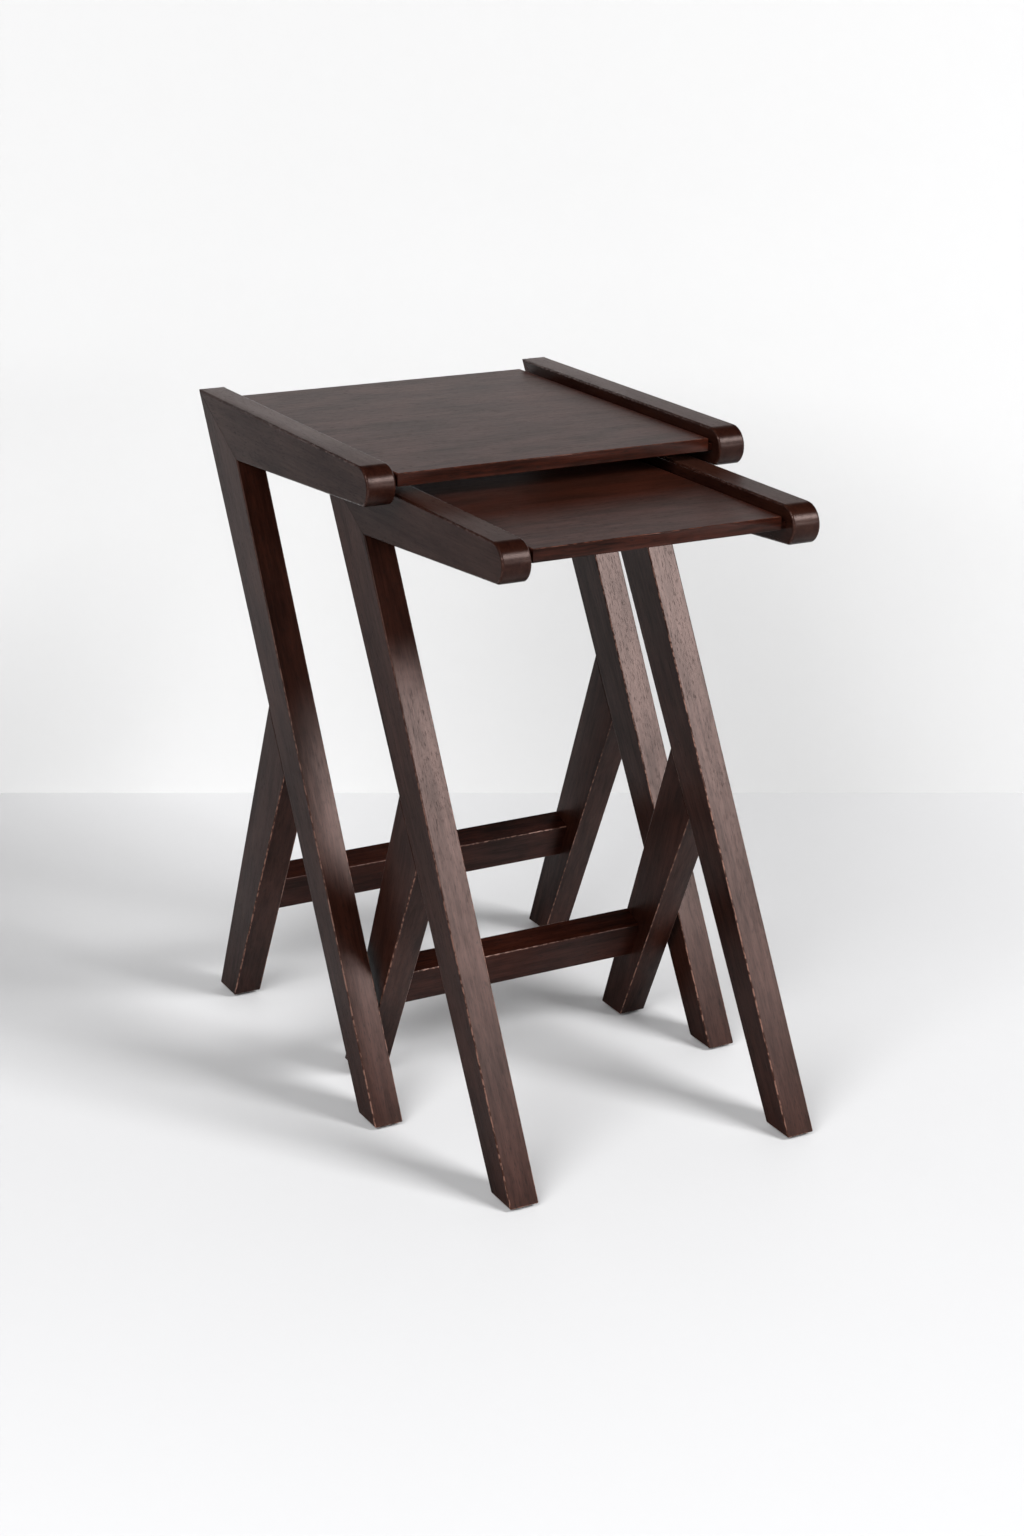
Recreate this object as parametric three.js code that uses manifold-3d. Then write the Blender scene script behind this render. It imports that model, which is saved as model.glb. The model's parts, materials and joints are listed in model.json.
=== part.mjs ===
// A nest of two side tables in dark stained hardwood.
// Millimetres, +Z up. X runs along the width, -Y is the front, the floor is z = 0.
// The origin is the middle of the pair's footprint on the floor, with the small table drawn out.

import * as THREE from 'three';
import { mergeVertices } from 'three/addons/utils/BufferGeometryUtils.js';
import Module from 'manifold-3d';

const wasm = await Module();
wasm.setup();

// ---------- driving dimensions: timber sections shared by both tables ----------

const STOCK = 27.5; // thickness of every leg and arm, across the table
const GLUE_GAP = 0.3; // glue line between two timbers
const SLIP = 0.25; // room all round a spline, dowel, tenon or tongue

const MITRE_RUN = 90; // the mitre runs this far forward ...
const MITRE_DROP = 51; // ... and this far down from the top rear corner
const FRONT_FOOT = 34.7; // length of the front leg's foot, front to back
const REAR_FOOT = 35.6; // length of the rear leg's foot, front to back
const NOSE_RADIUS = 18.3; // rounding of the arm's front end
const NOSE_DROP = 34; // height of the arm at its front end
const NOSE_SEGMENTS = 14;

const JOINT_TOP = 270; // the rear leg meets the front leg between these depths below the top
const JOINT_BOTTOM = 328.5;

const BOARD_THICKNESS = 12;
const BOARD_SINK = 8.3; // the board lies this far below the arms' tops
const BOARD_BEHIND_NOSE = 10; // its front edge stands this far behind the noses
const BOARD_REAR_INSET = 7; // its rear edge stands this far in front of the top rear corner
const SHADOW_GAP = 6; // between the board and the arm's inner face
const TONGUE_THICKNESS = 6;
const TONGUE_DEPTH = 8; // into the arm
const TONGUE_FRONT_INSET = 3; // behind the board's front edge
const TONGUE_REAR_INSET = 32; // in front of the board's rear edge

const RAIL_HEIGHT = 38;
const RAIL_THICKNESS = 25;
const TENON_HEIGHT = 24;
const TENON_THICKNESS = 10;
const TENON_LENGTH = 15;

const SPLINE = { thickness: 5, length: 54, reach: 12, fromCorner: 38 };
const DOWEL = { radius: 4, reach: 16, places: [26, 50] }; // places: down the joint from its top
const DOWEL_SIDES = 20;

const GLIDE = { height: 3, radius: 11, flatRadius: 8, shankRadius: 1.5, shankLength: 12 };
const GLIDE_SIDES = 28;

// ---------- driving dimensions: the two tables ----------
// y values are measured with the small table pushed home, when both pairs of noses are flush.

const LARGE = {
  name: 'large',
  width: 379,
  height: 600,
  topRear: 193, // y of the top rear corner
  frontFoot: -156.6, // y of the back of the front foot
  rearFoot: 162, // y of the back of the rear foot
  railTop: 142.5, // height of the rail's upper rear edge
};
const SMALL = {
  name: 'small',
  width: 307,
  height: 571,
  topRear: 167.5,
  frontFoot: -168.5,
  rearFoot: 121.5,
  railTop: 117.5,
};
const NOSE_FRONT = -175.8; // y of both tables' arm noses
const DRAWN_OUT = 172; // how far the small table is drawn out

// ---------- materials ----------

const WOOD = {
  board: { color: 0x5e4038, roughness: 0.42, metalness: 0 },
  arm: { color: 0x40261f, roughness: 0.35, metalness: 0 },
  leg: { color: 0x452a22, roughness: 0.38, metalness: 0 },
  rail: { color: 0x3a2521, roughness: 0.38, metalness: 0 },
  joinery: { color: 0xb98d5f, roughness: 0.7, metalness: 0 },
  glide: { color: 0x24150f, roughness: 0.5, metalness: 0 },
};

// ---------- solids and meshes ----------

function solidOf(geometry) {
  const bare = geometry.clone();
  bare.deleteAttribute('normal');
  bare.deleteAttribute('uv');
  const merged = mergeVertices(bare);
  return new wasm.Manifold(new wasm.Mesh({
    numProp: 3,
    vertProperties: merged.attributes.position.array,
    triVerts: new Uint32Array(merged.index.array),
  }));
}

function geometryOf(solid) {
  const mesh = solid.getMesh();
  const geometry = new THREE.BufferGeometry();
  geometry.setAttribute('position', new THREE.BufferAttribute(mesh.vertProperties, 3));
  geometry.setIndex(new THREE.BufferAttribute(mesh.triVerts, 1));
  geometry.computeVertexNormals();
  return geometry;
}

function cut(geometry, cutters) {
  const body = cutters.reduce((rest, cutter) => rest.subtract(solidOf(cutter)), solidOf(geometry));
  return geometryOf(body);
}

function join(geometry, additions) {
  const body = additions.reduce((sum, part) => sum.add(solidOf(part)), solidOf(geometry));
  return geometryOf(body);
}

function piece(name, geometry, wood) {
  const mesh = new THREE.Mesh(geometry, new THREE.MeshStandardMaterial(wood));
  mesh.name = name;
  return mesh;
}

// ---------- side-frame plan: points in the (y, z) plane ----------

const along = (from, to, share) => ({
  y: from.y + (to.y - from.y) * share,
  z: from.z + (to.z - from.z) * share,
});
const shifted = (point, dy, dz = 0) => ({ y: point.y + dy, z: point.z + dz });

// A direction in the (y, z) plane, and how far a turn about X takes +Z onto it.
function direction(from, to) {
  const length = Math.hypot(to.y - from.y, to.z - from.z);
  const y = (to.y - from.y) / length;
  const z = (to.z - from.z) / length;
  return { y, z, turn: Math.atan2(-y, z) };
}

function plan(table) {
  const topRear = { y: table.topRear, z: table.height };
  const mitreInner = shifted(topRear, -MITRE_RUN, -MITRE_DROP);
  const frontFootBack = { y: table.frontFoot, z: GLIDE.height };
  const frontFootFront = shifted(frontFootBack, -FRONT_FOOT);
  const rearFootBack = { y: table.rearFoot, z: GLIDE.height };
  const rearFootFront = shifted(rearFootBack, -REAR_FOOT);
  const legLength = table.height - GLIDE.height;
  const jointTop = along(topRear, frontFootBack, JOINT_TOP / legLength);
  const jointBottom = along(topRear, frontFootBack, JOINT_BOTTOM / legLength);
  const noseCentre = { y: NOSE_FRONT + NOSE_RADIUS, z: table.height - NOSE_RADIUS };
  const rearLegUp = direction(rearFootBack, jointTop);
  const legHeightShare = (table.railTop - GLIDE.height) / (jointTop.z - GLIDE.height);
  const railTopRear = along(rearFootBack, jointTop, legHeightShare);
  return {
    topRear,
    mitreInner,
    frontFootBack,
    frontFootFront,
    rearFootBack,
    rearFootFront,
    jointTop,
    jointBottom,
    noseCentre,
    rearLegUp,
    railTopRear,
    mitreDown: direction(topRear, mitreInner),
    jointDown: direction(topRear, frontFootBack),
  };
}

// Extrudes an outline of (y, z) points across the stock, centred on x = 0.
function timber(points) {
  const outline = new THREE.Shape(points.map((p) => new THREE.Vector2(p.y, p.z)));
  const geometry = new THREE.ExtrudeGeometry(outline, { depth: STOCK, bevelEnabled: false });
  geometry.rotateY(Math.PI / 2);
  geometry.rotateX(Math.PI / 2);
  return geometry.translate(-STOCK / 2, 0, 0);
}

// A box whose own z axis is turned about X and whose centre is a (y, z) point.
function tiltedBox(sizeX, sizeY, sizeZ, turn, centre, x = 0) {
  return new THREE.BoxGeometry(sizeX, sizeY, sizeZ).rotateX(turn).translate(x, centre.y, centre.z);
}

// ---------- joinery shared by the pieces that it holds together ----------

// The loose spline lies across the mitre, at mid thickness.
function splineBlank(lines, room) {
  const middle = SPLINE.fromCorner + SPLINE.length / 2;
  const centre = shifted(lines.topRear, lines.mitreDown.y * middle, lines.mitreDown.z * middle);
  return tiltedBox(
    SPLINE.thickness + 2 * room,
    2 * (SPLINE.reach + room),
    SPLINE.length + 2 * room,
    lines.mitreDown.turn,
    centre,
  );
}

// A dowel stands square to the joint between the rear leg and the front leg.
function dowelBlank(lines, place, room) {
  const height = 2 * (DOWEL.reach + room);
  const radius = DOWEL.radius + room;
  const centre = shifted(lines.jointTop, lines.jointDown.y * place, lines.jointDown.z * place);
  return new THREE.CylinderGeometry(radius, radius, height, DOWEL_SIDES)
    .rotateX(lines.jointDown.turn)
    .translate(0, centre.y, centre.z);
}

// The centre of the rail's section, half its height down and half its thickness forward.
function railCentre(lines) {
  const up = lines.rearLegUp;
  return shifted(
    lines.railTopRear,
    (-up.y * RAIL_HEIGHT - up.z * RAIL_THICKNESS) / 2,
    (-up.z * RAIL_HEIGHT + up.y * RAIL_THICKNESS) / 2,
  );
}

function tenonBlank(lines, length, x, room) {
  return tiltedBox(
    length + 2 * room,
    TENON_THICKNESS + 2 * room,
    TENON_HEIGHT + 2 * room,
    lines.rearLegUp.turn,
    railCentre(lines),
    x,
  );
}

// The tongue lies along the board's lower face, from behind the front edge to short of the mitre.
function tongueBlank(lines, width, x, room) {
  const front = NOSE_FRONT + BOARD_BEHIND_NOSE + TONGUE_FRONT_INSET;
  const rear = lines.topRear.y - BOARD_REAR_INSET - TONGUE_REAR_INSET;
  const low = lines.topRear.z - BOARD_SINK - BOARD_THICKNESS;
  return new THREE.BoxGeometry(width + 2 * room, rear - front + 2 * room, TONGUE_THICKNESS + 2 * room)
    .translate(x, (front + rear) / 2, low + TONGUE_THICKNESS / 2);
}

function shankHole(centreY) {
  const depth = GLIDE.shankLength + 1;
  return new THREE.CylinderGeometry(GLIDE.shankRadius + SLIP, GLIDE.shankRadius + SLIP, depth * 2, 12)
    .rotateX(Math.PI / 2)
    .translate(0, centreY, GLIDE.height);
}

// ---------- the pieces of a side frame; inward is +1 when the table's middle lies towards +X ----------

function frontLeg(lines) {
  const { topRear, mitreInner, frontFootFront, frontFootBack } = lines;
  const blank = timber([topRear, mitreInner, frontFootFront, frontFootBack]);
  return cut(blank, [
    splineBlank(lines, SLIP),
    ...DOWEL.places.map((place) => dowelBlank(lines, place, SLIP)),
    shankHole(frontFootBack.y - FRONT_FOOT / 2),
  ]);
}

function rearLeg(lines, inward) {
  const { jointTop, jointBottom, rearFootFront, rearFootBack } = lines;
  const blank = timber([
    shifted(jointTop, GLUE_GAP),
    shifted(jointBottom, GLUE_GAP),
    rearFootFront,
    rearFootBack,
  ]);
  const mortiseX = inward * (STOCK / 2 - TENON_LENGTH / 2);
  return cut(blank, [
    ...DOWEL.places.map((place) => dowelBlank(lines, place, SLIP)),
    tenonBlank(lines, TENON_LENGTH, mortiseX, SLIP),
    shankHole(rearFootBack.y - REAR_FOOT / 2),
  ]);
}

function arm(lines, inward) {
  const { topRear, mitreInner, noseCentre } = lines;
  const lowest = Math.acos((NOSE_DROP - NOSE_RADIUS) / NOSE_RADIUS);
  const sweep = Math.PI - lowest;
  const nose = [];
  for (let step = 0; step <= NOSE_SEGMENTS; step += 1) {
    const angle = (sweep * step) / NOSE_SEGMENTS;
    nose.push(shifted(noseCentre, -NOSE_RADIUS * Math.sin(angle), NOSE_RADIUS * Math.cos(angle)));
  }
  const blank = timber([shifted(topRear, -2 * GLUE_GAP), ...nose, shifted(mitreInner, -2 * GLUE_GAP)]);
  const grooveX = inward * (STOCK / 2 - TONGUE_DEPTH / 2);
  return cut(blank, [splineBlank(lines, SLIP), tongueBlank(lines, TONGUE_DEPTH, grooveX, SLIP)]);
}

// ---------- the pieces that span a table ----------

function topBoard(lines, table) {
  const clear = table.width - 2 * STOCK;
  const front = NOSE_FRONT + BOARD_BEHIND_NOSE;
  const rear = table.topRear - BOARD_REAR_INSET;
  const panel = new THREE.BoxGeometry(clear - 2 * SHADOW_GAP, rear - front, BOARD_THICKNESS)
    .translate(0, (front + rear) / 2, table.height - BOARD_SINK - BOARD_THICKNESS / 2);
  return join(panel, [tongueBlank(lines, clear + 2 * TONGUE_DEPTH - 2 * SLIP, 0, 0)]);
}

function crossRail(lines, table) {
  const clear = table.width - 2 * STOCK;
  const rail = tiltedBox(
    clear - 2 * GLUE_GAP,
    RAIL_THICKNESS,
    RAIL_HEIGHT,
    lines.rearLegUp.turn,
    railCentre(lines),
  );
  return join(rail, [tenonBlank(lines, clear + 2 * TENON_LENGTH - 2 * SLIP, 0, 0)]);
}

// A low round glide with its nail shank, standing on z = 0 about its own axis.
function glide() {
  const { height, radius, flatRadius, shankRadius, shankLength } = GLIDE;
  const seat = height - GLUE_GAP;
  const rounding = radius - flatRadius;
  const profile = [new THREE.Vector2(0, 0)];
  const steps = 4;
  for (let step = 0; step <= steps; step += 1) {
    const angle = (Math.PI / 2) * (step / steps);
    const out = flatRadius + rounding * Math.sin(angle);
    profile.push(new THREE.Vector2(out, seat * 0.8 * (1 - Math.cos(angle))));
  }
  profile.push(new THREE.Vector2(radius, seat));
  profile.push(new THREE.Vector2(shankRadius, seat));
  profile.push(new THREE.Vector2(shankRadius, height + shankLength));
  profile.push(new THREE.Vector2(0, height + shankLength));
  return new THREE.LatheGeometry(profile, GLIDE_SIDES).rotateX(Math.PI / 2);
}

// ---------- one whole table ----------

function buildTable(table) {
  const lines = plan(table);
  const assembly = new THREE.Group();
  assembly.add(piece(`${table.name}_top_board`, topBoard(lines, table), WOOD.board));
  assembly.add(piece(`${table.name}_cross_rail`, crossRail(lines, table), WOOD.rail));

  for (const [side, outward] of [['left', -1], ['right', 1]]) {
    const name = (part) => `${table.name}_${side}_${part}`;
    const frame = new THREE.Group();
    frame.position.x = outward * (table.width - STOCK) / 2;
    frame.add(piece(name('arm'), arm(lines, -outward), WOOD.arm));
    frame.add(piece(name('front_leg'), frontLeg(lines), WOOD.leg));
    frame.add(piece(name('rear_leg'), rearLeg(lines, -outward), WOOD.leg));
    frame.add(piece(name('mitre_spline'), splineBlank(lines, 0), WOOD.joinery));
    DOWEL.places.forEach((place, index) => {
      const position = index === 0 ? 'upper' : 'lower';
      frame.add(piece(name(`${position}_dowel`), dowelBlank(lines, place, 0), WOOD.joinery));
    });
    for (const [foot, y] of [
      ['front', lines.frontFootBack.y - FRONT_FOOT / 2],
      ['rear', lines.rearFootBack.y - REAR_FOOT / 2],
    ]) {
      const pad = piece(name(`${foot}_glide`), glide(), WOOD.glide);
      pad.position.y = y;
      frame.add(pad);
    }
    assembly.add(frame);
  }
  return assembly;
}

// ---------- the nest ----------

const group = new THREE.Group();
const largeTable = buildTable(LARGE);
const smallTable = buildTable(SMALL);

// The pair reaches from the small table's front feet back to the large table's top rear corner.
const frontmost = SMALL.frontFoot - FRONT_FOOT - DRAWN_OUT;
const middle = (LARGE.topRear + frontmost) / 2;
largeTable.position.y = -middle;
smallTable.position.y = -middle - DRAWN_OUT;
group.add(largeTable, smallTable);

export default group;
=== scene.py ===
"""Looks for a nest of two side tables in dark stained hardwood, built round the packed CAD frame."""

import json
import math

import bmesh
import bpy
from mathutils import Matrix, Vector


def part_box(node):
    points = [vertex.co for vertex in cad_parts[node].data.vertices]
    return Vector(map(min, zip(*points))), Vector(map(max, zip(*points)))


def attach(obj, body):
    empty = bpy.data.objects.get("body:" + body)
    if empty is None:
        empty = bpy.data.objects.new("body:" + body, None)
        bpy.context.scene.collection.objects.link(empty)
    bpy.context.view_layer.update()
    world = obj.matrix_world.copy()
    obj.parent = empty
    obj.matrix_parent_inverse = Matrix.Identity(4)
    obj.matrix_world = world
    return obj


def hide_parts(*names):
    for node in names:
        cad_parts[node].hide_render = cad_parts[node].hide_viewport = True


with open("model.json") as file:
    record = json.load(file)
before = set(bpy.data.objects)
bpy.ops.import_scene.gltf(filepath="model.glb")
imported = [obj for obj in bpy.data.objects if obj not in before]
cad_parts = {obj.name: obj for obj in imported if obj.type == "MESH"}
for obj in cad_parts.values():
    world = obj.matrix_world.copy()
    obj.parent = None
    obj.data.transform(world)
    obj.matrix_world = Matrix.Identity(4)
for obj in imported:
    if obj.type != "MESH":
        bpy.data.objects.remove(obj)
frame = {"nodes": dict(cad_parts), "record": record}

bl_info = {
    "name": "Nest of Side Tables",
    "version": (1, 0, 0),
    "blender": (4, 5, 0),
    "location": "3D View > Sidebar > Nest",
    "description": "Finishes the timbers of a two-table nest and sets the studio round them",
    "category": "Object",
}

MM = 0.001
NODES = frame["nodes"]
BODY_OF = {
    node: body
    for body, members in frame["record"]["behaviour"]["bodies"].items()
    for node in members
}
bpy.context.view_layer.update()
ACROSS = Vector((1, 0, 0))  # every timber's thickness runs across the table
BACKWARD = Vector((0, 1, 0))  # an arm runs this way from its nose
TABLES = ("large", "small")
SIDES = ("left", "right")
FEET = ("front", "rear")

# Each kind of timber is cut from its own stretch of wood, and each piece from the next one along.
FIRST_STRETCH = {"arm": 1, "leg": 10, "board": 20, "rail": 30}
STRETCH = Vector((0.71, 0.173, 0.119))  # metres from one stretch to the next

# What counts as an arris, and how closely places are told apart.
ARRIS_TURN = math.radians(35)  # an edge that turns more than this is an arris
CRISP_TURN = math.radians(20)  # an edge that turns more than this, and isn't eased, stays crisp
FLAT_TURN = math.radians(1)  # faces that turn less than this are one face
WELD = 0.005 * MM  # corners this close are one corner
TOUCH = 0.02 * MM  # a corner this close to a plane lies in it
SLICE = 0.1 * MM  # a leg's foot and its top are the corners this close to its ends in height

# A colour mix node's sockets: its share, its two colours and its result.
SHARE, FROM, TO, MIXED = 0, 6, 7, 2

# The studio, in metres from the middle of the floor under the tables.
LIT_POINT = Vector((0, 0, 0.35))  # the lights are turned to this point of the tables
SOFTBOX_WAY, STRIP_WAY = Vector((0.47, -0.665, 0.58)), Vector((0.47, -0.8, 0.17))
FILL_WAY = Vector((-0.7, -0.45, 0.55))
FRONT_LIGHT_AWAY, FILL_AWAY = 6, 3.6
STRIP_WIDTH, STRIP_HEIGHT = 1.3, 0.7
FLOOR_REACH = 9
WALL_FOOT, WALL_TURN = Vector((0.335, 0.6044, 0)), math.radians(-26.85)
WALL_REACH, WALL_HEIGHT = 6, 1.0


# ---------- small helpers ----------


def linear(code):
    """An sRGB hex colour such as "#a0522d" as linear red, green and blue."""
    shares = [int(code[i : i + 2], 16) / 255 for i in (1, 3, 5)]
    return tuple(s / 12.92 if s <= 0.04045 else ((s + 0.055) / 1.055) ** 2.4 for s in shares)


def add(tree, kind, inputs=None, **settings):
    """Adds one node with its settings; an input takes a value, or a link from another node's output."""
    made = tree.nodes.new(kind)
    for name, value in settings.items():
        setattr(made, name, value)
    for key, value in (inputs or {}).items():
        socket = made.inputs[key]
        if isinstance(value, bpy.types.NodeSocket):
            tree.links.new(value, socket)
        else:
            socket.default_value = value
    return made


def new_material(name):
    """An empty node material."""
    made = bpy.data.materials.new(name)
    made.use_nodes = True
    made.node_tree.nodes.clear()
    return made


# ---------- finishes ----------


def stained_timber(name, stain, streak, rub_and_glint, roughness, lustre, figure, pores, warmth=0.0):
    """Close-grained hardwood, planed and sanded, spirit stained and sprayed with satin lacquer.

    It gives the eye a near-black brown with faint streaks along the grain, short pores, a cloudy take-up
    of stain, rub-through on the arrises that breaks into bright nicks, and a broad reddish sheen. The
    pale colour of the rub-through is partly real wear and partly a painted highlight for arris glints.
    roughness is the lacquer's own, lustre the strength of its shine on a face to the front or the back,
    and warmth the share of light that a level top scatters red. figure is the width of a growth streak
    and pores the width of a pore, in mm. A real pore is about 0.2 mm wide, which is too fine to show,
    so it is drawn four times as coarse.
    """
    made = new_material(name)
    tree = made.node_tree
    grain = add(tree, "ShaderNodeAttribute", attribute_name="grain").outputs["Vector"]

    # One turn of noise is one feature, so its count in a metre comes from its size in millimetres.
    def spread(width, length, detail, low, high, to_low=0.0, to_high=1.0):
        counts = (1 / (length * MM), 1 / (width * MM), 1 / (width * MM))
        laid = add(tree, "ShaderNodeMapping", {"Vector": grain, "Scale": counts}).outputs["Vector"]
        noise = add(
            tree, "ShaderNodeTexNoise", {"Vector": laid, "Scale": 1.0, "Detail": detail, "Distortion": 0.2}
        ).outputs["Fac"]
        return add(
            tree,
            "ShaderNodeMapRange",
            {"Value": noise, "From Min": low, "From Max": high, "To Min": to_low, "To Max": to_high},
        ).outputs["Result"]

    streaks = spread(figure, figure * 22, detail=3.0, low=0.3, high=0.7, to_high=0.55)
    fibres = spread(1.4, 22, detail=2.0, low=0.3, high=0.7, to_low=-0.22, to_high=0.22)
    clouds = spread(30, 75, detail=3.0, low=0.3, high=0.7, to_low=-0.1, to_high=0.55)
    in_pore = spread(pores, pores * 8, detail=1.0, low=0.6, high=0.7, to_high=0.75)
    broken = spread(2.2, 5.0, detail=2.0, low=0.46, high=0.56, to_low=0.1)
    unevenness = spread(7, 16, detail=2.0, low=0.2, high=0.8)

    figured = add(tree, "ShaderNodeMath", {0: streaks, 1: fibres}, operation="ADD").outputs[0]
    take_up = add(
        tree, "ShaderNodeMath", {0: figured, 1: clouds}, operation="ADD", use_clamp=True
    ).outputs[0]
    stained = add(
        tree, "ShaderNodeMix", {SHARE: take_up, FROM: (*stain, 1), TO: (*streak, 1)}, data_type="RGBA"
    ).outputs[MIXED]
    pored = add(
        tree,
        "ShaderNodeMix",
        {SHARE: in_pore, FROM: stained, TO: (*(0.3 * c for c in stain), 1)},
        data_type="RGBA",
    ).outputs[MIXED]
    # Rub-through on the eased arrises, broken along their length. Its lighter colour is partly real wear
    # and partly a painted highlight that stands in for glints along the arrises.
    eased = add(tree, "ShaderNodeAttribute", attribute_name="eased").outputs["Fac"]
    rubbed = add(tree, "ShaderNodeMath", {0: eased, 1: broken}, operation="MULTIPLY").outputs[0]
    coloured = add(
        tree, "ShaderNodeMix", {SHARE: rubbed, FROM: pored, TO: (*rub_and_glint, 1)}, data_type="RGBA"
    ).outputs[MIXED]

    # The lacquer is duller in the pores and smoother where an arris is rubbed.
    dulled = add(
        tree, "ShaderNodeMath", {0: in_pore, 1: 0.16, 2: roughness}, operation="MULTIPLY_ADD"
    ).outputs[0]
    smoothed = add(
        tree, "ShaderNodeMath", {0: rubbed, 1: -0.1, 2: dulled}, operation="MULTIPLY_ADD"
    ).outputs[0]

    # Faces to the front and the back are polished, sides are duller, and tops and undersides are rubbed
    # out flat.
    facing = add(tree, "ShaderNodeNewGeometry").outputs["Normal"]
    turned = add(tree, "ShaderNodeSeparateXYZ", {0: facing}).outputs
    ahead = add(tree, "ShaderNodeMath", {0: turned["Y"]}, operation="ABSOLUTE").outputs[0]
    lying = add(tree, "ShaderNodeMath", {0: turned["Z"]}, operation="ABSOLUTE").outputs[0]
    polished = add(
        tree, "ShaderNodeMapRange", {"Value": ahead, "From Min": 0.68, "From Max": 0.86}
    ).outputs["Result"]
    rubbed_out = add(
        tree,
        "ShaderNodeMapRange",
        {"Value": lying, "From Min": 0.4, "From Max": 0.95, "To Min": 0.48, "To Max": 0.2},
    ).outputs["Result"]
    worked = add(
        tree, "ShaderNodeMath", {0: polished, 1: rubbed_out}, operation="MAXIMUM"
    ).outputs[0]
    # The lighter streaks shine a little more.
    streaky = add(
        tree, "ShaderNodeMath", {0: take_up, 1: 0.5 * lustre, 2: 0.8 * lustre}, operation="MULTIPLY_ADD"
    ).outputs[0]
    unworn = add(tree, "ShaderNodeMath", {0: streaky, 1: worked}, operation="MULTIPLY").outputs[0]
    # Feet are scuffed dull over their lowest 110 mm.
    place = add(tree, "ShaderNodeTexCoord").outputs["Object"]
    height = add(tree, "ShaderNodeSeparateXYZ", {0: place}).outputs["Z"]
    scuffed = add(
        tree,
        "ShaderNodeMapRange",
        {"Value": height, "From Min": 10 * MM, "From Max": 110 * MM, "To Min": 0.45, "To Max": 1.0},
    ).outputs["Result"]
    worn_down = add(tree, "ShaderNodeMath", {0: unworn, 1: scuffed}, operation="MULTIPLY").outputs[0]
    shine = add(
        tree, "ShaderNodeMath", {0: rubbed, 1: 0.25, 2: worn_down}, operation="MULTIPLY_ADD"
    ).outputs[0]

    # The coat sinks a few hundredths of a millimetre into the pores and rolls a little over the surface.
    pitted = add(
        tree,
        "ShaderNodeBump",
        {"Strength": 0.6, "Distance": 0.05 * MM, "Height": in_pore},
        invert=True,
    ).outputs["Normal"]
    rolled = add(
        tree,
        "ShaderNodeBump",
        {"Strength": 0.5, "Distance": 0.12 * MM, "Height": unevenness, "Normal": pitted},
    ).outputs["Normal"]

    sheen = {}
    if warmth:
        # Fine scratches on a level top scatter light red at a flat angle.
        level = add(
            tree, "ShaderNodeMapRange", {"Value": turned["Z"], "From Min": 0.97, "From Max": 0.998}
        ).outputs["Result"]
        scatter = add(tree, "ShaderNodeMath", {0: level, 1: warmth}, operation="MULTIPLY").outputs[0]
        sheen = {
            "Sheen Weight": scatter, "Sheen Roughness": 0.35, "Sheen Tint": (1.0, 0.42, 0.28, 1.0),
        }
    shader = add(
        tree,
        "ShaderNodeBsdfPrincipled",
        {
            "Base Color": coloured,
            "Roughness": smoothed,
            "Normal": rolled,
            "IOR": 1.5,
            "Specular IOR Level": shine,
            "Specular Tint": (1.0, 0.76, 0.7, 1.0),
            **sheen,
        },
    )
    add(tree, "ShaderNodeOutputMaterial", {"Surface": shader.outputs["BSDF"]})
    return made


def bare_beech(name, pale, dark):
    """Beech, machined to size and left bare: a pale pinkish tan with short dark flecks, quite matt."""
    made = new_material(name)
    tree = made.node_tree
    place = add(tree, "ShaderNodeTexCoord").outputs["Object"]
    # Beech flecks are about 0.6 mm wide and 2.4 mm long, counted here to the metre.
    across, along = 1600, 420
    laid = add(tree, "ShaderNodeMapping", {"Vector": place, "Scale": (across, along, across)})
    fleck = add(
        tree, "ShaderNodeTexNoise", {"Vector": laid.outputs["Vector"], "Scale": 1.0, "Detail": 2.0}
    ).outputs["Fac"]
    spotted = add(
        tree, "ShaderNodeMapRange", {"Value": fleck, "From Min": 0.5, "From Max": 0.72}
    ).outputs["Result"]
    coloured = add(
        tree, "ShaderNodeMix", {SHARE: spotted, FROM: (*pale, 1), TO: (*dark, 1)}, data_type="RGBA"
    ).outputs[MIXED]
    bump = add(tree, "ShaderNodeBump", {"Strength": 0.4, "Distance": 0.05 * MM, "Height": fleck})
    shader = add(
        tree,
        "ShaderNodeBsdfPrincipled",
        {"Base Color": coloured, "Roughness": 0.68, "IOR": 1.5, "Normal": bump.outputs["Normal"]},
    )
    add(tree, "ShaderNodeOutputMaterial", {"Surface": shader.outputs["BSDF"]})
    return made


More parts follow.
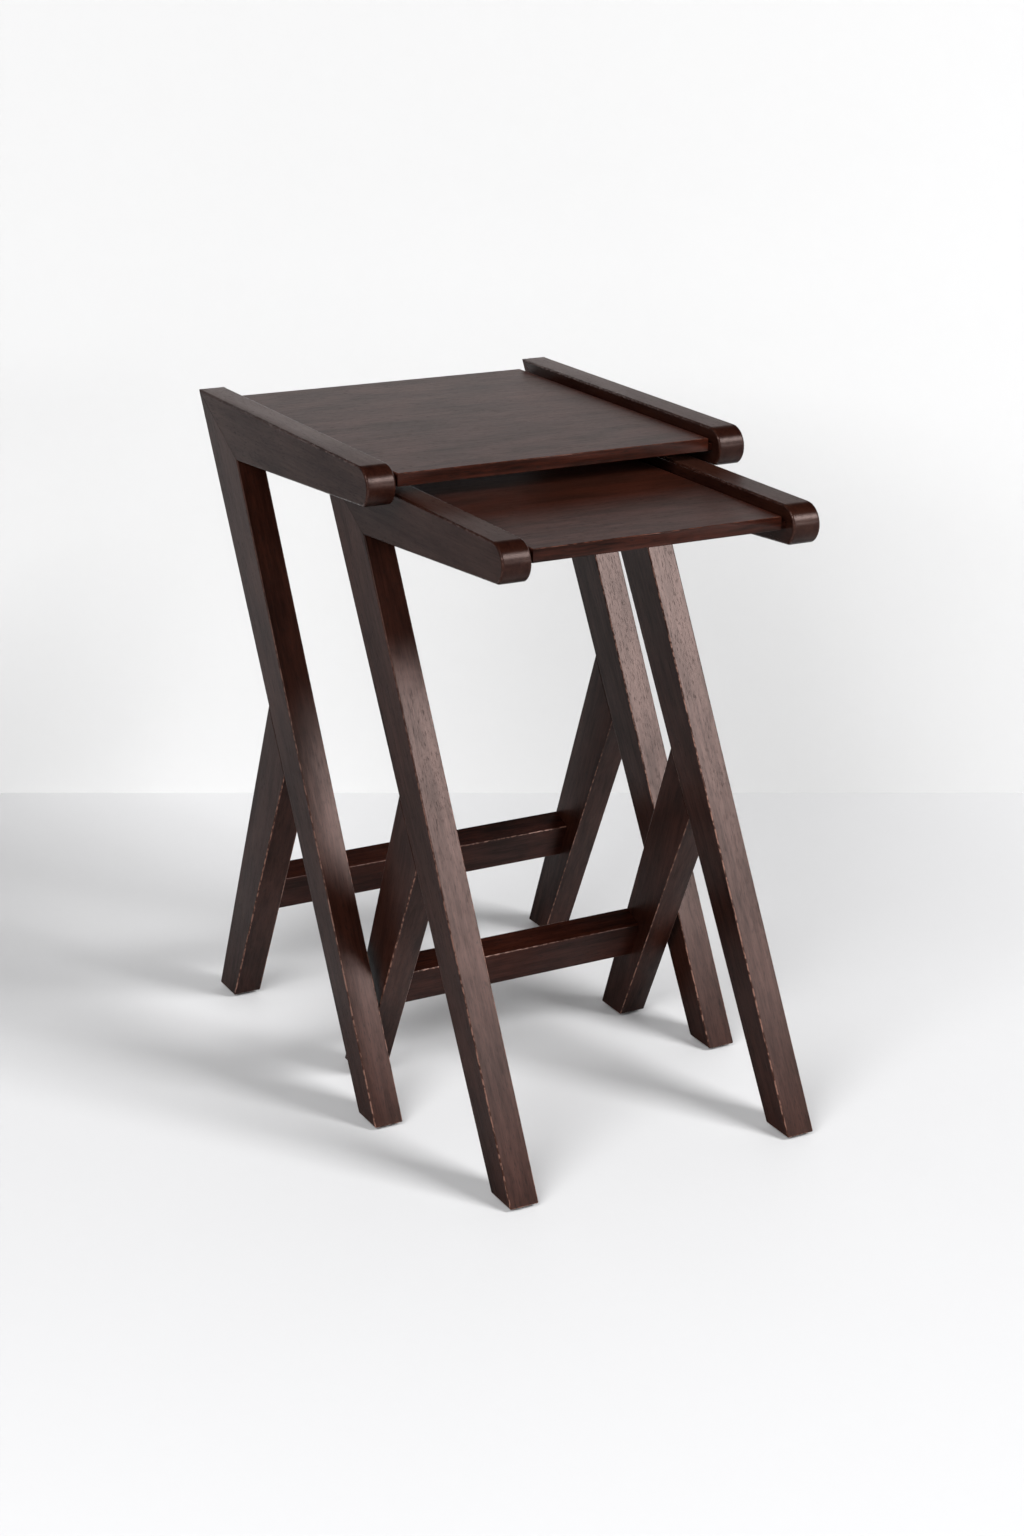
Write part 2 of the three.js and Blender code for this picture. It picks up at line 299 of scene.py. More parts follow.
def moulded_nylon(name, colour):
    """Nylon, injection moulded with a fine spark-eroded texture: dark brown, dull, a little scuffed."""
    made = new_material(name)
    tree = made.node_tree
    place = add(tree, "ShaderNodeTexCoord").outputs["Object"]
    # The mould's grit is about 0.1 mm; it is drawn at 0.8 mm so that it shows.
    grit = add(
        tree, "ShaderNodeTexNoise", {"Vector": place, "Scale": 1 / (0.8 * MM), "Detail": 2.0}
    ).outputs["Fac"]
    scuff = add(
        tree, "ShaderNodeTexNoise", {"Vector": place, "Scale": 1 / (6 * MM), "Detail": 3.0}
    ).outputs["Fac"]
    rough = add(
        tree,
        "ShaderNodeMapRange",
        {"Value": scuff, "From Min": 0.35, "From Max": 0.65, "To Min": 0.42, "To Max": 0.62},
    ).outputs["Result"]
    coloured = add(
        tree,
        "ShaderNodeMix",
        {SHARE: scuff, FROM: (*colour, 1), TO: (*(1.7 * c for c in colour), 1)},
        data_type="RGBA",
    ).outputs[MIXED]
    bump = add(tree, "ShaderNodeBump", {"Strength": 0.35, "Distance": 0.05 * MM, "Height": grit})
    shader = add(
        tree,
        "ShaderNodeBsdfPrincipled",
        {"Base Color": coloured, "Roughness": rough, "IOR": 1.53, "Normal": bump.outputs["Normal"]},
    )
    add(tree, "ShaderNodeOutputMaterial", {"Surface": shader.outputs["BSDF"]})
    return made


def painted_board(name, colour, roughness, painted_foot_light=0.0):
    """Studio board under matt emulsion: pale, with the faintest roller texture, and even unless painted
    paler at its foot.

    painted_foot_light is how much paler an upright board is painted at its foot than a metre up: painted
    light that lifts the shade falling low on the wall. It gives back the material and the painted
    surface, which the caller joins to the material's output.
    """
    made = new_material(name)
    tree = made.node_tree
    place = add(tree, "ShaderNodeTexCoord").outputs["Object"]
    roller = add(
        tree, "ShaderNodeTexNoise", {"Vector": place, "Scale": 1 / (14 * MM), "Detail": 3.0}
    ).outputs["Fac"]
    coloured = add(
        tree,
        "ShaderNodeMix",
        {SHARE: roller, FROM: (*(0.99 * c for c in colour), 1), TO: (*colour, 1)},
        data_type="RGBA",
    ).outputs[MIXED]
    height = add(tree, "ShaderNodeSeparateXYZ", {0: place}).outputs["Z"]
    # Painted light: the board is painted paler towards its foot, to lift the shade that falls low on the
    # wall.
    painted_lift = add(
        tree, "ShaderNodeMapRange", {"Value": height, "To Min": 1.0 + painted_foot_light, "To Max": 1.0}
    ).outputs["Result"]
    coloured = add(
        tree, "ShaderNodeVectorMath", {0: coloured, "Scale": painted_lift}, operation="SCALE"
    ).outputs[0]
    shader = add(
        tree,
        "ShaderNodeBsdfPrincipled",
        {"Base Color": coloured, "Roughness": roughness, "Specular IOR Level": 0.2},
    )
    return made, shader.outputs["BSDF"]


# ---------- what a user would change ----------


class NestSizes(bpy.types.PropertyGroup):
    """Sizes of the details that the maker works by hand."""

    arm_arris: bpy.props.FloatProperty(
        name="Arm arris", description="Radius of the rounded arrises of the arms",
        default=2.2 * MM, min=0.2 * MM, max=3 * MM, unit="LENGTH", precision=4,
    )
    arris: bpy.props.FloatProperty(
        name="Arris", description="Radius of the eased arrises of legs and rails",
        default=1.3 * MM, min=0.2 * MM, max=3 * MM, unit="LENGTH", precision=4,
    )
    board_arris: bpy.props.FloatProperty(
        name="Board arris", description="Radius of the eased edges of the top boards",
        default=0.7 * MM, min=0.2 * MM, max=2 * MM, unit="LENGTH", precision=4,
    )
    arris_steps: bpy.props.IntProperty(
        name="Arris steps", description="Facets round an eased arris", default=3, min=1, max=6,
    )
    figure: bpy.props.FloatProperty(
        name="Figure", description="Width of a growth streak in the timber, in mm",
        default=5.0, min=1, max=20,
    )
    pore: bpy.props.FloatProperty(
        name="Pore", description="Width of a drawn pore, in mm", default=0.8, min=0.2, max=2,
    )


class NestGlides(bpy.types.PropertyGroup):
    """Sizes of the moulded glides under the feet."""

    dome: bpy.props.FloatProperty(
        name="Rounding", description="How far the edge of a glide rounds in",
        default=3 * MM, min=0.5 * MM, max=6 * MM, unit="LENGTH", precision=4,
    )
    seat_gap: bpy.props.FloatProperty(
        name="Seat gap", description="Air between a glide and the foot above it",
        default=0.3 * MM, min=0, max=1 * MM, unit="LENGTH", precision=4,
    )
    nail: bpy.props.FloatProperty(
        name="Nail radius", description="Radius of the nail that holds a glide",
        default=1.5 * MM, min=0.5 * MM, max=3 * MM, unit="LENGTH", precision=4,
    )


class NestColours(bpy.types.PropertyGroup):
    """Stain and lacquer colours."""

    arm_stain: bpy.props.FloatVectorProperty(
        name="Arm stain", description="Darker stain colour of the arms", subtype="COLOR",
        default=linear("#150705"), min=0, max=1,
    )
    arm_streak: bpy.props.FloatVectorProperty(
        name="Arm streak", description="Lighter streaks in the arms", subtype="COLOR",
        default=linear("#23100a"), min=0, max=1,
    )
    leg_stain: bpy.props.FloatVectorProperty(
        name="Leg stain", description="Darker stain colour of the legs", subtype="COLOR",
        default=linear("#120604"), min=0, max=1,
    )
    leg_streak: bpy.props.FloatVectorProperty(
        name="Leg streak", description="Lighter streaks in the legs", subtype="COLOR",
        default=linear("#28110a"), min=0, max=1,
    )
    board_stain: bpy.props.FloatVectorProperty(
        name="Board stain", description="Darker stain colour of the top boards", subtype="COLOR",
        default=linear("#100604"), min=0, max=1,
    )
    board_streak: bpy.props.FloatVectorProperty(
        name="Board streak", description="Lighter streaks in the top boards", subtype="COLOR",
        default=linear("#30130b"), min=0, max=1,
    )
    rail_stain: bpy.props.FloatVectorProperty(
        name="Rail stain", description="Darker stain colour of the cross rails", subtype="COLOR",
        default=linear("#120604"), min=0, max=1,
    )
    rail_streak: bpy.props.FloatVectorProperty(
        name="Rail streak", description="Lighter streaks in the cross rails", subtype="COLOR",
        default=linear("#2f130b"), min=0, max=1,
    )
    arm_arris: bpy.props.FloatVectorProperty(
        name="Arm arris", description="Arrises of the arms, hardly rubbed", subtype="COLOR",
        default=linear("#2c1812"), min=0, max=1,
    )
    # The pale arris colour of legs and rails is partly rub-through and partly a painted highlight,
    # lightened to stand in for the glints along the arrises.
    leg_arris_wear_and_glint: bpy.props.FloatVectorProperty(
        name="Leg arris", description="Arrises of legs and rails where the stain is rubbed thin",
        subtype="COLOR", default=linear("#6f5045"), min=0, max=1,
    )
    board_arris: bpy.props.FloatVectorProperty(
        name="Board arris", description="Edges of the top boards where the stain is rubbed thin",
        subtype="COLOR", default=linear("#4f2f25"), min=0, max=1,
    )
    glide: bpy.props.FloatVectorProperty(
        name="Glide", description="Colour of the moulded glides", subtype="COLOR",
        default=linear("#24160f"), min=0, max=1,
    )
    beech: bpy.props.FloatVectorProperty(
        name="Beech", description="Colour of the unfinished splines and dowels", subtype="COLOR",
        default=linear("#c39a72"), min=0, max=1,
    )


class NestStudio(bpy.types.PropertyGroup):
    """The studio round the tables."""

    camera_place: bpy.props.FloatVectorProperty(
        name="Camera", description="Where the camera stands", subtype="TRANSLATION", unit="LENGTH",
        default=(-1.1508, -2.0789, 1.1288),
    )
    heading: bpy.props.FloatProperty(
        name="Heading", description="Turn of the view from straight back towards the right",
        subtype="ANGLE", default=math.radians(28.89),
    )
    tilt: bpy.props.FloatProperty(
        name="Tilt", description="How far the camera looks down", subtype="ANGLE",
        default=math.radians(14.35),
    )
    roll: bpy.props.FloatProperty(
        name="Roll", description="Lean of the camera", subtype="ANGLE", default=math.radians(0.71),
    )
    lens: bpy.props.FloatProperty(
        name="Lens", description="Focal length on a 36 mm sensor", default=63.62, min=10, max=200,
    )
    rise: bpy.props.FloatProperty(
        name="Rise", description="Vertical shift of the lens, as a share of the long side",
        default=-0.165,
    )
    softbox_power: bpy.props.FloatProperty(
        name="Softbox power", description="Power of the softbox", unit="POWER",
        default=465, min=0,
    )
    softbox_width: bpy.props.FloatProperty(
        name="Softbox width", description="Width of the softbox", unit="LENGTH",
        default=2.3, min=0.1,
    )
    softbox_height: bpy.props.FloatProperty(
        name="Softbox height", description="Height of the softbox", unit="LENGTH",
        default=1.85, min=0.1,
    )
    strip_power: bpy.props.FloatProperty(
        name="Strip power", description="Power of the low strip light", unit="POWER",
        default=60, min=0,
    )
    fill_power: bpy.props.FloatProperty(
        name="Fill power", description="Power of the large fill light", unit="POWER",
        default=148, min=0,
    )
    fill_size: bpy.props.FloatProperty(
        name="Fill size", description="Width and height of the fill light", unit="LENGTH",
        default=2.4, min=0.1,
    )
    floor: bpy.props.FloatVectorProperty(
        name="Floor", description="Colour of the floor", subtype="COLOR", default=linear("#c6c6c7"),
        min=0, max=1,
    )
    wall: bpy.props.FloatVectorProperty(
        name="Wall", description="Colour of the wall", subtype="COLOR", default=linear("#b6b6b6"),
        min=0, max=1,
    )


# ---------- making a timber ----------


def finished_mesh(name, shape, inner, along, stretch):
    """Turns the bmesh into a smooth mesh, with its grain laid along it and its arrises marked as eased.

    inner tells for each point whether it lies inside a rounded arris.
    """
    mesh = bpy.data.meshes.new(name)
    shape.to_mesh(mesh)
    shape.free()
    mesh.shade_smooth()
    beside = ACROSS if abs(along.x) < 0.5 else BACKWARD
    turned = Matrix((along, beside, along.cross(beside)))
    start = STRETCH * stretch
    grain = mesh.attributes.new("grain", "FLOAT_VECTOR", "POINT")
    grain.data.foreach_set("vector", [c for v in mesh.vertices for c in turned @ v.co + start])
    eased = mesh.attributes.new("eased", "FLOAT", "POINT")
    eased.data.foreach_set("value", [float(i) for i in inner])
    return mesh


def work_timber(node, along, radius, steps, stretch, glued=None, also=None):
    """A piece like the CAD timber, with its outer arrises eased and its glue lines left crisp.

    glued tells from its normal whether a face is in a glue line, and also whether a further edge is
    eased.
    """
    shape = bmesh.new()
    shape.from_mesh(NODES[node].data)
    bmesh.ops.remove_doubles(shape, verts=shape.verts, dist=WELD)
    bmesh.ops.dissolve_limit(
        shape, angle_limit=FLAT_TURN, verts=shape.verts, edges=shape.edges, delimit=set()
    )
    shape.normal_update()
    points = [v.co.copy() for v in shape.verts]

    def outside(face):
        if glued and glued(face.normal):
            return False
        reach = face.verts[0].co.dot(face.normal) + TOUCH
        return all(p.dot(face.normal) < reach for p in points)

    outer = {face for face in shape.faces if outside(face)}
    arrises = set()
    for edge in shape.edges:
        if len(edge.link_faces) != 2:
            raise RuntimeError(f"{node} isn't closed at an edge")
        turn = edge.calc_face_angle()
        if turn > ARRIS_TURN and (outer.issuperset(edge.link_faces) or (also and also(edge))):
            arrises.add(edge)
        elif turn > CRISP_TURN:
            edge.smooth = False
    if not arrises:
        raise RuntimeError(f"{node} has no arris to ease")
    made = bmesh.ops.bevel(
        shape, geom=list(arrises), offset=radius, offset_type="OFFSET", segments=steps, profile=0.5,
        affect="EDGES", clamp_overlap=False, loop_slide=True, miter_outer="SHARP",
    )
    rounded = set(made["faces"])
    shape.verts.index_update()
    inner = [bool(v.link_faces) and rounded.issuperset(v.link_faces) for v in shape.verts]
    return finished_mesh(f"{node}_finished", shape, inner, along, stretch)


def set_in_place(mesh, node, material):
    """Shows the finished piece in place of its CAD node, riding on the same body."""
    mesh.materials.append(material)
    piece = bpy.data.objects.new(mesh.name, mesh)
    bpy.context.scene.collection.objects.link(piece)
    even_flats = piece.modifiers.new("Even flats", "WEIGHTED_NORMAL")
    even_flats.keep_sharp = True
    even_flats.weight = 80
    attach(piece, BODY_OF[node])
    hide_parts(node)


def leg_direction(node):
    """The way a leg's grain runs: from the middle of its foot to its top."""
    places = [v.co for v in NODES[node].data.vertices]
    low, high = min(p.z for p in places), max(p.z for p in places)
    foot = [p for p in places if p.z < low + SLICE]
    top = [p for p in places if p.z > high - SLICE]
    foot_y = (min(p.y for p in foot) + max(p.y for p in foot)) / 2
    top_y = sum(p.y for p in top) / len(top)
    return Vector((0, top_y - foot_y, high - low)).normalized()


# ---------- the operators, one for each piece or group of like pieces ----------


class NEST_OT_arms(bpy.types.Operator):
    """Makes the four arms, with round noses and eased arrises"""

    bl_idname = "nest.arms"
    bl_label = "Arms"

    def execute(self, context):
        sizes, colours = context.scene.nest_sizes, context.scene.nest_colours
        finish = stained_timber(
            "hardwood_arm_stained_lacquered", colours.arm_stain, colours.arm_streak, colours.arm_arris,
            roughness=0.29, lustre=0.13, figure=sizes.figure, pores=sizes.pore, warmth=0.03,
        )
        nodes = [f"{table}_{side}_arm" for table in TABLES for side in SIDES]
        for stretch, node in enumerate(nodes, FIRST_STRETCH["arm"]):
            # The mitre is the only face that looks back and down.
            mesh = work_timber(
                node, BACKWARD, sizes.arm_arris, sizes.arris_steps, stretch,
                glued=lambda normal: normal.y > 0.3 and normal.z < -0.3,
            )
            set_in_place(mesh, node, finish)
        return {"FINISHED"}


class NEST_OT_legs(bpy.types.Operator):
    """Makes the eight legs, mitred into the arms or butted against the front legs"""

    bl_idname = "nest.legs"
    bl_label = "Legs"

    def execute(self, context):
        sizes, colours = context.scene.nest_sizes, context.scene.nest_colours
        finish = stained_timber(
            "hardwood_leg_stained_lacquered", colours.leg_stain, colours.leg_streak, colours.leg_arris_wear_and_glint,
            roughness=0.33, lustre=0.2, figure=sizes.figure, pores=sizes.pore,
        )
        # A front leg's mitre looks steeply up; a rear leg's glued end looks up and forward.
        glue_lines = {
            "front": lambda normal: normal.z > 0.7,
            "rear": lambda normal: normal.z > 0.42 and normal.y < 0,
        }
        legs = [(table, side, place) for table in TABLES for side in SIDES for place in FEET]
        for stretch, (table, side, place) in enumerate(legs, FIRST_STRETCH["leg"]):
            node = f"{table}_{side}_{place}_leg"
            mesh = work_timber(
                node, leg_direction(node), sizes.arris, sizes.arris_steps, stretch,
                glued=glue_lines[place],
            )
            set_in_place(mesh, node, finish)
        return {"FINISHED"}


class NEST_OT_boards(bpy.types.Operator):
    """Makes the two top boards, with tongues in the arms and a shadow gap at each end"""

    bl_idname = "nest.boards"
    bl_label = "Top boards"

    def execute(self, context):
        sizes, colours = context.scene.nest_sizes, context.scene.nest_colours
        finish = stained_timber(
            "veneered_board_stained_lacquered",
            colours.board_stain, colours.board_streak, colours.board_arris,
            roughness=0.3, lustre=0.16, figure=sizes.figure * 0.8, pores=sizes.pore, warmth=0.02,
        )
        for stretch, table in enumerate(TABLES, FIRST_STRETCH["board"]):
            node = f"{table}_top_board"
            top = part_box(node)[1].z
            # The edges of the board's top are eased at the shadow gaps too.
            mesh = work_timber(
                node, ACROSS, sizes.board_arris, sizes.arris_steps, stretch,
                also=lambda edge: all(v.co.z > top - TOUCH for v in edge.verts),
            )
            set_in_place(mesh, node, finish)
        return {"FINISHED"}


class NEST_OT_rails(bpy.types.Operator):
    """Makes the two cross rails, tenoned between the rear legs"""

    bl_idname = "nest.rails"
    bl_label = "Cross rails"

    def execute(self, context):
        sizes, colours = context.scene.nest_sizes, context.scene.nest_colours
        finish = stained_timber(
            "hardwood_rail_stained_lacquered", colours.rail_stain, colours.rail_streak, colours.leg_arris_wear_and_glint,
            roughness=0.33, lustre=0.14, figure=sizes.figure, pores=sizes.pore,
        )
        for stretch, table in enumerate(TABLES, FIRST_STRETCH["rail"]):
            node = f"{table}_cross_rail"
            mesh = work_timber(node, ACROSS, sizes.arris, sizes.arris_steps, stretch)
            set_in_place(mesh, node, finish)
        return {"FINISHED"}


class NEST_OT_joinery(bpy.types.Operator):
    """Gives the hidden splines and dowels their unfinished beech"""

    bl_idname = "nest.joinery"
    bl_label = "Splines and dowels"

    def execute(self, context):
        colour = context.scene.nest_colours.beech
        finish = bare_beech("beech_machined_bare", colour, [0.5 * c for c in colour])
        hidden = [n for n in NODES if n.endswith(("_spline", "_dowel"))]
        expected = len(TABLES) * len(SIDES) * 3  # a spline and two dowels to a side
        if len(hidden) != expected:
            raise RuntimeError(f"expected {expected} splines and dowels, found {len(hidden)}")
        for node in hidden:
            NODES[node].material_slots[0].material = finish
        return {"FINISHED"}


class NEST_OT_glides(bpy.types.Operator):
    """Sets a moulded glide under each foot"""

    bl_idname = "nest.glides"
    bl_label = "Glides"

    def execute(self, context):
        sizes = context.scene.nest_glides
        finish = moulded_nylon("nylon_moulded_brown", context.scene.nest_colours.glide)
        tree, sockets = self.glide_tree(finish)
        for table in TABLES:
            nodes = [f"{table}_{side}_{foot}_glide" for side in SIDES for foot in FEET]
            low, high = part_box(nodes[0])
            foot_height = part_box(f"{table}_left_front_leg")[0].z
            places = [(sum(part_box(n), Vector()) / 2).to_2d().to_3d() for n in nodes]
            points = bpy.data.meshes.new(f"{table}_feet")
            points.from_pydata(places, [], [])
            holder = bpy.data.objects.new(f"{table}_feet", points)
            context.scene.collection.objects.link(holder)
            repeat = holder.modifiers.new("Glides", "NODES")
            repeat.node_group = tree
            repeat[sockets["Radius"]] = (high.x - low.x) / 2
            repeat[sockets["Seat"]] = foot_height - sizes.seat_gap
            repeat[sockets["Rounding"]] = sizes.dome
            repeat[sockets["Nail Radius"]] = sizes.nail
            repeat[sockets["Nail Length"]] = high.z - foot_height
            drawn = holder.evaluated_get(context.evaluated_depsgraph_get())
            mesh = bpy.data.meshes.new_from_object(drawn)
            bpy.data.objects.remove(holder)
            if not mesh.polygons:
                raise RuntimeError(f"no glides were made for the {table} table")
            mesh.name = f"{table}_glides"
            piece = bpy.data.objects.new(mesh.name, mesh)
            context.scene.collection.objects.link(piece)
            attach(piece, BODY_OF[nodes[0]])
            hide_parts(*nodes)
        return {"FINISHED"}

    def glide_tree(self, finish):
        """One glide on each point: a disc whose lower edge is rounded in, with a nail standing on it."""
        tree = bpy.data.node_groups.new("Glide on each foot", "GeometryNodeTree")
        tree.interface.new_socket("Feet", in_out="INPUT", socket_type="NodeSocketGeometry")
        sockets = {}
        for name, value in (
            ("Radius", 11 * MM), ("Seat", 2.7 * MM), ("Rounding", 3 * MM), ("Nail Radius", 1.5 * MM),
            ("Nail Length", 12 * MM),
        ):
            item = tree.interface.new_socket(name, in_out="INPUT", socket_type="NodeSocketFloat")
            item.default_value = value
            item.subtype = "DISTANCE"
            sockets[name] = item.identifier
        tree.interface.new_socket("Glides", in_out="OUTPUT", socket_type="NodeSocketGeometry")
        given = add(tree, "NodeGroupInput").outputs
        disc = add(
            tree,
            "GeometryNodeMeshCylinder",
            {"Vertices": 32, "Side Segments": 6, "Radius": given["Radius"], "Depth": given["Seat"]},
        ).outputs["Mesh"]
        place = add(tree, "GeometryNodeInputPosition").outputs["Position"]
        split = add(tree, "ShaderNodeSeparateXYZ", {0: place}).outputs
        # Height share: 0 on the floor, 1 at the seat. The edge follows a quarter of an ellipse.
        share = add(tree, "ShaderNodeMath", {0: split["Z"], 1: given["Seat"]}, operation="DIVIDE")
        share = add(tree, "ShaderNodeMath", {0: share.outputs[0], 1: 0.5}, operation="ADD").outputs[0]
        above = add(tree, "ShaderNodeMath", {0: 1.0, 1: share}, operation="SUBTRACT").outputs[0]
        square = add(tree, "ShaderNodeMath", {0: above, 1: above}, operation="MULTIPLY").outputs[0]
        rest = add(tree, "ShaderNodeMath", {0: 1.0, 1: square}, operation="SUBTRACT", use_clamp=True)
        bow = add(tree, "ShaderNodeMath", {0: rest.outputs[0]}, operation="SQRT").outputs[0]
        inset = add(tree, "ShaderNodeMath", {0: 1.0, 1: bow}, operation="SUBTRACT").outputs[0]
        drop = add(tree, "ShaderNodeMath", {0: inset, 1: given["Rounding"]}, operation="MULTIPLY")
        kept = add(
            tree, "ShaderNodeMath", {0: given["Radius"], 1: drop.outputs[0]}, operation="SUBTRACT"
        ).outputs[0]
        scale = add(tree, "ShaderNodeMath", {0: kept, 1: given["Radius"]}, operation="DIVIDE").outputs[0]
        x = add(tree, "ShaderNodeMath", {0: split["X"], 1: scale}, operation="MULTIPLY").outputs[0]
        y = add(tree, "ShaderNodeMath", {0: split["Y"], 1: scale}, operation="MULTIPLY").outputs[0]
        half = add(tree, "ShaderNodeMath", {0: given["Seat"], 1: 0.5}, operation="MULTIPLY").outputs[0]
        z = add(tree, "ShaderNodeMath", {0: split["Z"], 1: half}, operation="ADD").outputs[0]
        rounded = add(tree, "ShaderNodeCombineXYZ", {0: x, 1: y, 2: z}).outputs[0]
        domed = add(
            tree, "GeometryNodeSetPosition", {"Geometry": disc, "Position": rounded}
        ).outputs["Geometry"]
        nail = add(
            tree,
            "GeometryNodeMeshCylinder",
            {"Vertices": 12, "Radius": given["Nail Radius"], "Depth": given["Nail Length"]},
        ).outputs["Mesh"]
        lift = add(
            tree, "ShaderNodeMath", {0: given["Nail Length"], 1: 0.5, 2: given["Seat"]},
            operation="MULTIPLY_ADD",
        ).outputs[0]
        up = add(tree, "ShaderNodeCombineXYZ", {2: lift}).outputs[0]
        stood = add(
            tree, "GeometryNodeTransform", {"Geometry": nail, "Translation": up}
        ).outputs["Geometry"]
        one = add(tree, "GeometryNodeJoinGeometry")
        tree.links.new(domed, one.inputs[0])
        tree.links.new(stood, one.inputs[0])
        set_out = add(
            tree,
            "GeometryNodeInstanceOnPoints",
            {"Points": given["Feet"], "Instance": one.outputs[0]},
        ).outputs["Instances"]
        solid = add(tree, "GeometryNodeRealizeInstances", {"Geometry": set_out}).outputs["Geometry"]
        shown = add(
            tree, "GeometryNodeSetMaterial", {"Geometry": solid, "Material": finish}
        ).outputs["Geometry"]
        add(tree, "NodeGroupOutput", {0: shown})
        return tree, sockets


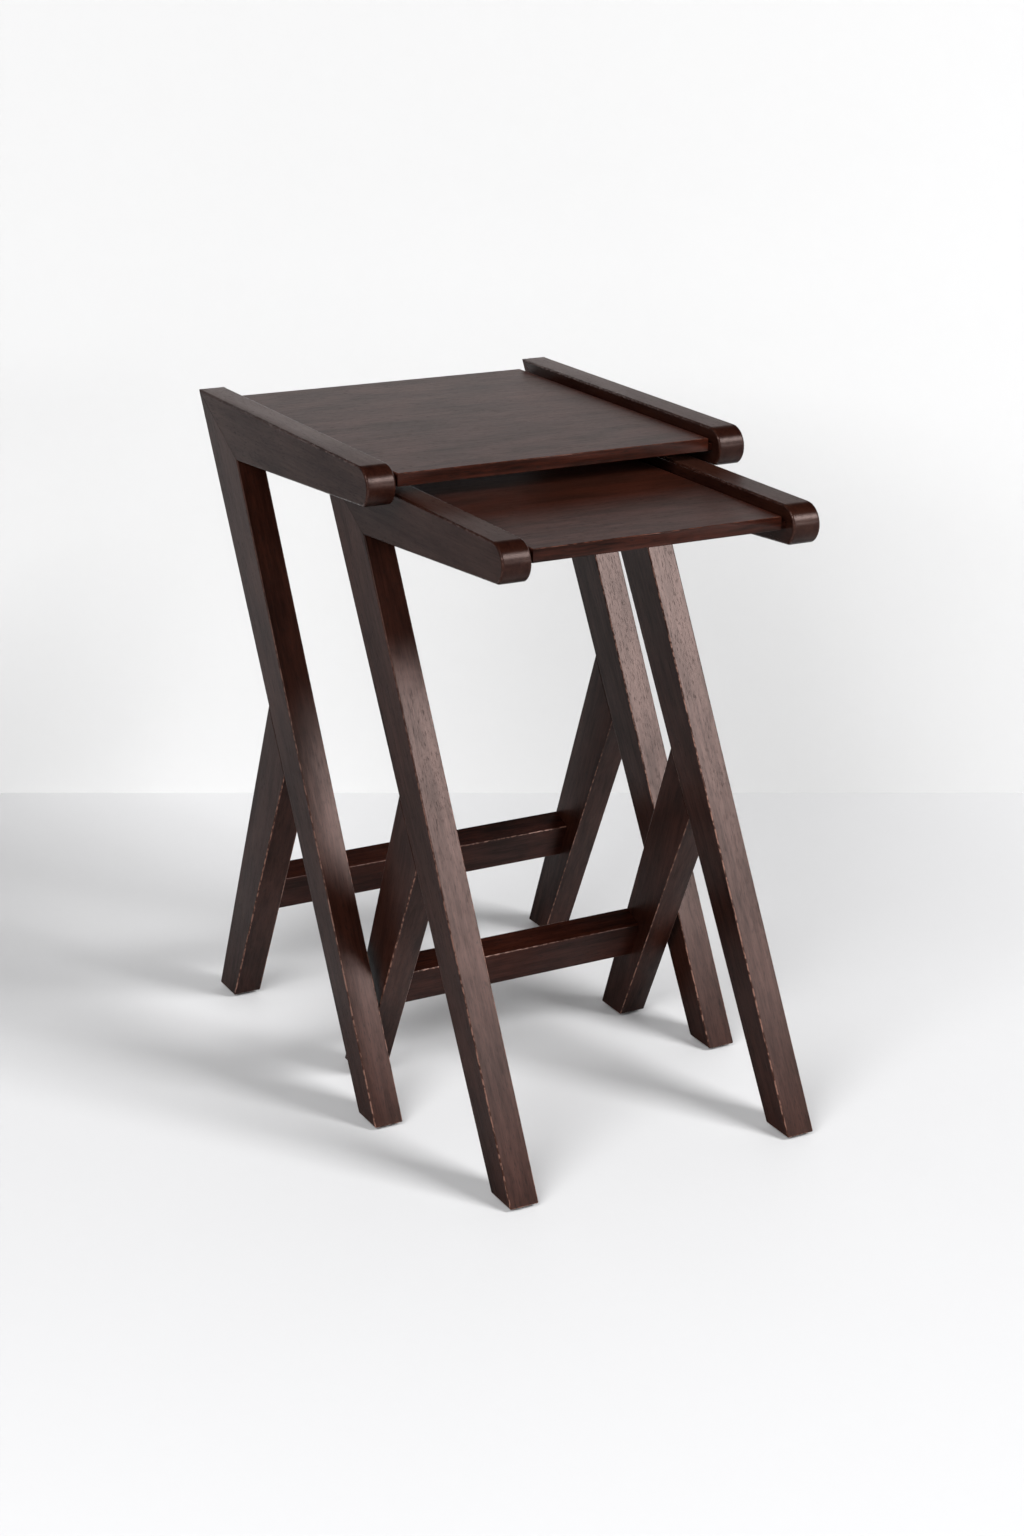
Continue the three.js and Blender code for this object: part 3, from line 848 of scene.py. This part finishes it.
class NEST_OT_studio(bpy.types.Operator):
    """Sets the floor, the wall, the lights and the camera"""

    bl_idname = "nest.studio"
    bl_label = "Studio"

    def execute(self, context):
        studio = context.scene.nest_studio
        self.camera(context, studio)
        self.floor_and_wall(context, studio)
        self.lights(context, studio)
        context.scene.view_settings.view_transform = "Standard"
        return {"FINISHED"}

    def camera(self, context, studio):
        ahead = Vector((
            math.sin(studio.heading) * math.cos(studio.tilt),
            math.cos(studio.heading) * math.cos(studio.tilt),
            -math.sin(studio.tilt),
        ))
        level = Vector((math.cos(studio.heading), -math.sin(studio.heading), 0))
        upright = level.cross(ahead)
        right = math.cos(studio.roll) * level + math.sin(studio.roll) * upright
        up = math.cos(studio.roll) * upright - math.sin(studio.roll) * level
        lens = bpy.data.cameras.new("studio_camera")
        lens.sensor_width = 36
        lens.lens = studio.lens
        lens.shift_y = studio.rise
        stand = bpy.data.objects.new("studio_camera", lens)
        turned = Matrix((right, up, -ahead)).transposed().to_4x4()
        stand.matrix_world = Matrix.Translation(studio.camera_place) @ turned
        context.scene.collection.objects.link(stand)
        context.scene.camera = stand

    def floor_and_wall(self, context, studio):
        # The wall stands 0.69 m behind the middle of the tables, two degrees off square to the view.
        run = WALL_REACH * Vector((math.cos(WALL_TURN), math.sin(WALL_TURN), 0))
        rise = Vector((0, 0, WALL_HEIGHT))
        corners_round = ((-1, -1), (1, -1), (1, 1), (-1, 1))
        sheets = {
            "studio_floor": [Vector((x * FLOOR_REACH, y * FLOOR_REACH, 0)) for x, y in corners_round],
            "studio_wall": [
                WALL_FOOT - run, WALL_FOOT + run, WALL_FOOT + run + rise, WALL_FOOT - run + rise,
            ],
        }
        floor_finish, floor_shader = painted_board("studio_floor_paint", studio.floor, 0.55)
        add(floor_finish.node_tree, "ShaderNodeOutputMaterial", {"Surface": floor_shader})
        # The wall is painted a fifth paler at its foot: painted light against the shade low on the wall.
        wall_finish, wall_shader = painted_board("studio_wall_paint", studio.wall, 0.7, 0.2)
        tree = wall_finish.node_tree
        # The wall shows on its front only, so that the tables can be looked at from behind.
        side = add(tree, "ShaderNodeNewGeometry").outputs["Backfacing"]
        clear = add(tree, "ShaderNodeBsdfTransparent").outputs["BSDF"]
        shown = add(tree, "ShaderNodeMixShader", {0: side, 1: wall_shader, 2: clear}).outputs[0]
        add(tree, "ShaderNodeOutputMaterial", {"Surface": shown})
        for (name, corners), finish in zip(sheets.items(), (floor_finish, wall_finish)):
            mesh = bpy.data.meshes.new(name)
            mesh.from_pydata(corners, [], [(0, 1, 2, 3)])
            mesh.materials.append(finish)
            sheet = bpy.data.objects.new(name, mesh)
            context.scene.collection.objects.link(sheet)

    def lamp(self, context, name, way, distance, power, width, height):
        """A soft rectangular light, out along way from the tables and turned to face them."""
        light = bpy.data.lights.new(name, "AREA")
        light.shape = "RECTANGLE"
        light.size = width
        light.size_y = height
        light.energy = power
        stand = bpy.data.objects.new(name, light)
        stand.location = LIT_POINT + distance * way.normalized()
        stand.rotation_euler = way.to_track_quat("Z", "Y").to_euler()
        stand.visible_camera = False
        context.scene.collection.objects.link(stand)

    def lights(self, context, studio):
        self.lamp(
            context, "softbox_front_right", SOFTBOX_WAY, FRONT_LIGHT_AWAY,
            studio.softbox_power, studio.softbox_width, studio.softbox_height,
        )
        self.lamp(
            context, "strip_front_right", STRIP_WAY, FRONT_LIGHT_AWAY,
            studio.strip_power, STRIP_WIDTH, STRIP_HEIGHT,
        )
        self.lamp(
            context, "fill_front_left", FILL_WAY, FILL_AWAY,
            studio.fill_power, studio.fill_size, studio.fill_size,
        )
        world = bpy.data.worlds.new("studio_room")
        world.use_nodes = True
        tree = world.node_tree
        tree.nodes.clear()
        # The room round the stage glows white up to 9 degrees and is almost black from 27 degrees up.
        way = add(tree, "ShaderNodeTexCoord").outputs["Generated"]
        height = add(tree, "ShaderNodeSeparateXYZ", {0: way}).outputs["Z"]
        share = add(
            tree, "ShaderNodeMapRange", {"Value": height, "From Min": 0.15, "From Max": 0.45}
        ).outputs["Result"]
        shade = add(
            tree,
            "ShaderNodeMix",
            {SHARE: share, FROM: (0.95, 0.95, 0.96, 1), TO: (0.02, 0.02, 0.02, 1)},
            data_type="RGBA",
        ).outputs[MIXED]
        glow = add(tree, "ShaderNodeBackground", {"Color": shade, "Strength": 1.0}).outputs[0]
        add(tree, "ShaderNodeOutputWorld", {"Surface": glow})
        context.scene.world = world


class NEST_PT_maker(bpy.types.Panel):
    """Lists the pieces of the nest in the order in which they are made"""

    bl_label = "Nest of Side Tables"
    bl_idname = "NEST_PT_maker"
    bl_space_type = "VIEW_3D"
    bl_region_type = "UI"
    bl_category = "Nest"

    def draw(self, context):
        for operator in OPERATORS:
            self.layout.operator(operator.bl_idname)
        for group in GROUPS:
            box = self.layout.box()
            box.label(text=GROUPS[group].__doc__)
            for name in GROUPS[group].__annotations__:
                box.prop(getattr(context.scene, group), name)


GROUPS = {
    "nest_sizes": NestSizes,
    "nest_glides": NestGlides,
    "nest_colours": NestColours,
    "nest_studio": NestStudio,
}
OPERATORS = (
    NEST_OT_arms,
    NEST_OT_legs,
    NEST_OT_boards,
    NEST_OT_rails,
    NEST_OT_joinery,
    NEST_OT_glides,
    NEST_OT_studio,
)


def register():
    for group in (*GROUPS.values(), *OPERATORS, NEST_PT_maker):
        bpy.utils.register_class(group)
    for name, group in GROUPS.items():
        setattr(bpy.types.Scene, name, bpy.props.PointerProperty(type=group))


def unregister():
    for name in GROUPS:
        delattr(bpy.types.Scene, name)
    for group in (NEST_PT_maker, *reversed(OPERATORS), *reversed(list(GROUPS.values()))):
        bpy.utils.unregister_class(group)


def main():
    """Makes every piece in order."""
    register()
    bpy.ops.nest.arms()
    bpy.ops.nest.legs()
    bpy.ops.nest.boards()
    bpy.ops.nest.rails()
    bpy.ops.nest.joinery()
    bpy.ops.nest.glides()
    bpy.ops.nest.studio()


if __name__ == "__main__":
    main()
